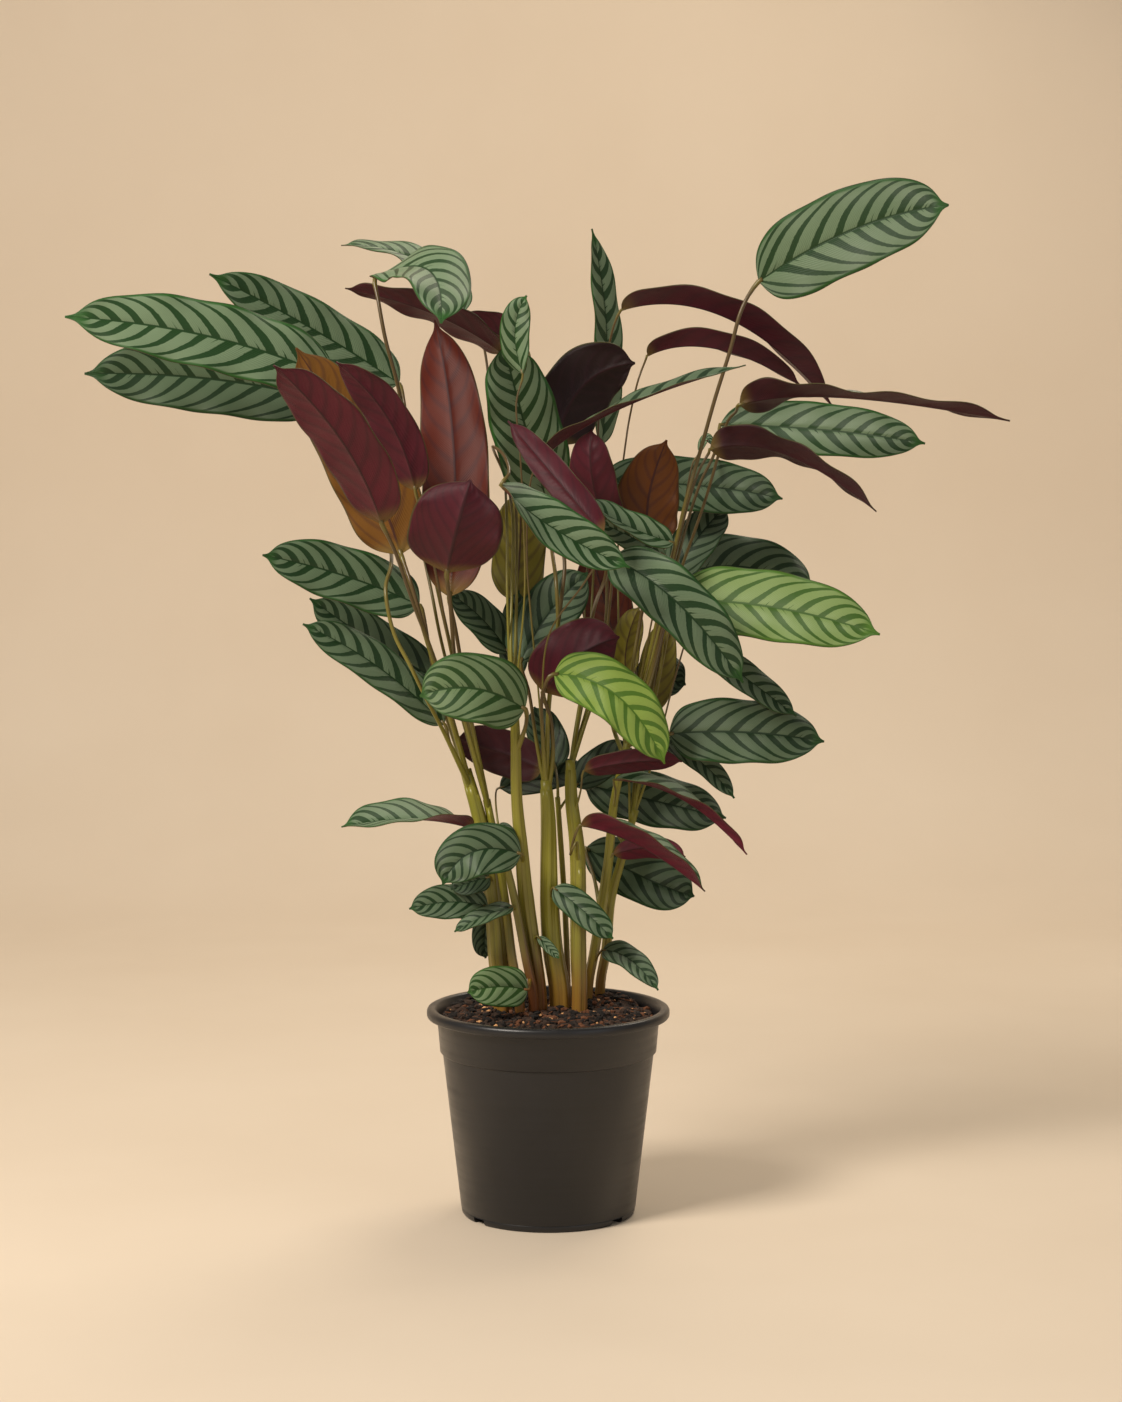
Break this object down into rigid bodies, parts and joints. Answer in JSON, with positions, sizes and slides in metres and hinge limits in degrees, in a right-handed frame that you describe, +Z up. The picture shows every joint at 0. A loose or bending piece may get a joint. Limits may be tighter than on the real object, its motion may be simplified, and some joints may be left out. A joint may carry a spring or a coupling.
{
  "type": "potted prayer plant",
  "caption": "Leafy prayer plant with long striped leaves, crimson beneath, on jointed canes in a plain round nursery pot.",
  "frame": {"origin": "centre of the pot's flat underside, on the surface it stands on", "axes": "+Z up along the pot's axis, -Y towards the front of the plant as pictured, +X to its right"},
  "size_m": [0.7917, 0.4863, 0.8803],
  "materials": {
    "pot_plastic": "charcoal moulded polypropylene, satin",
    "potting_soil": "dark crumbly potting mix with reddish fibres",
    "cane": "yellow-green to brown green stem, smooth",
    "leaf_upper": "grey-green striped leaf, waxy satin",
    "leaf_underside": "crimson leaf underside, soft satin"
  },
  "bodies": {
    "root": {"leaf_01": "leaf_upper", "leaf_02": "leaf_upper", "leaf_03": "leaf_upper", "leaf_04": "leaf_underside", "leaf_05": "leaf_underside", "leaf_06": "leaf_underside", "leaf_07": "leaf_underside", "leaf_08": "leaf_upper", "leaf_09": "leaf_underside", "leaf_10": "leaf_upper", "leaf_11": "leaf_underside", "leaf_13": "leaf_upper", "leaf_14": "leaf_upper", "leaf_15": "leaf_upper", "leaf_16": "leaf_underside", "leaf_17": "leaf_underside", "leaf_19": "leaf_underside", "leaf_20": "leaf_underside", "leaf_21": "leaf_underside", "leaf_22": "leaf_upper", "leaf_25": "leaf_upper", "leaf_26": "leaf_upper", "leaf_27": "leaf_upper", "leaf_28": "leaf_upper", "leaf_29": "leaf_upper", "leaf_30": "leaf_upper", "leaf_31": "leaf_underside", "leaf_32": "leaf_underside", "leaf_33": "leaf_underside", "leaf_34": "leaf_upper", "leaf_35": "leaf_underside", "leaf_37": "leaf_upper", "leaf_38": "leaf_upper", "leaf_39": "leaf_upper", "leaf_40": "leaf_upper", "leaf_42": "leaf_underside", "leaf_45": "leaf_upper", "leaf_46": "leaf_upper", "leaf_55": "leaf_upper", "leaf_57": "leaf_upper", "leaf_58": "leaf_upper", "leaf_61": "leaf_upper", "leaf_62": "leaf_upper", "leaf_64": "leaf_upper", "leaf_68": "leaf_underside", "leaf_69": "leaf_upper", "leaf_71": "leaf_underside", "leaf_72": "leaf_underside", "pot": "pot_plastic", "shoot_1": "cane", "shoot_2": "cane", "shoot_3": "cane", "shoot_4": "cane", "shoot_5": "cane", "shoot_6": "cane", "shoot_7": "cane", "shoot_8": "cane", "shoot_9": "cane", "soil": "potting_soil"}
  },
  "joints": []
}
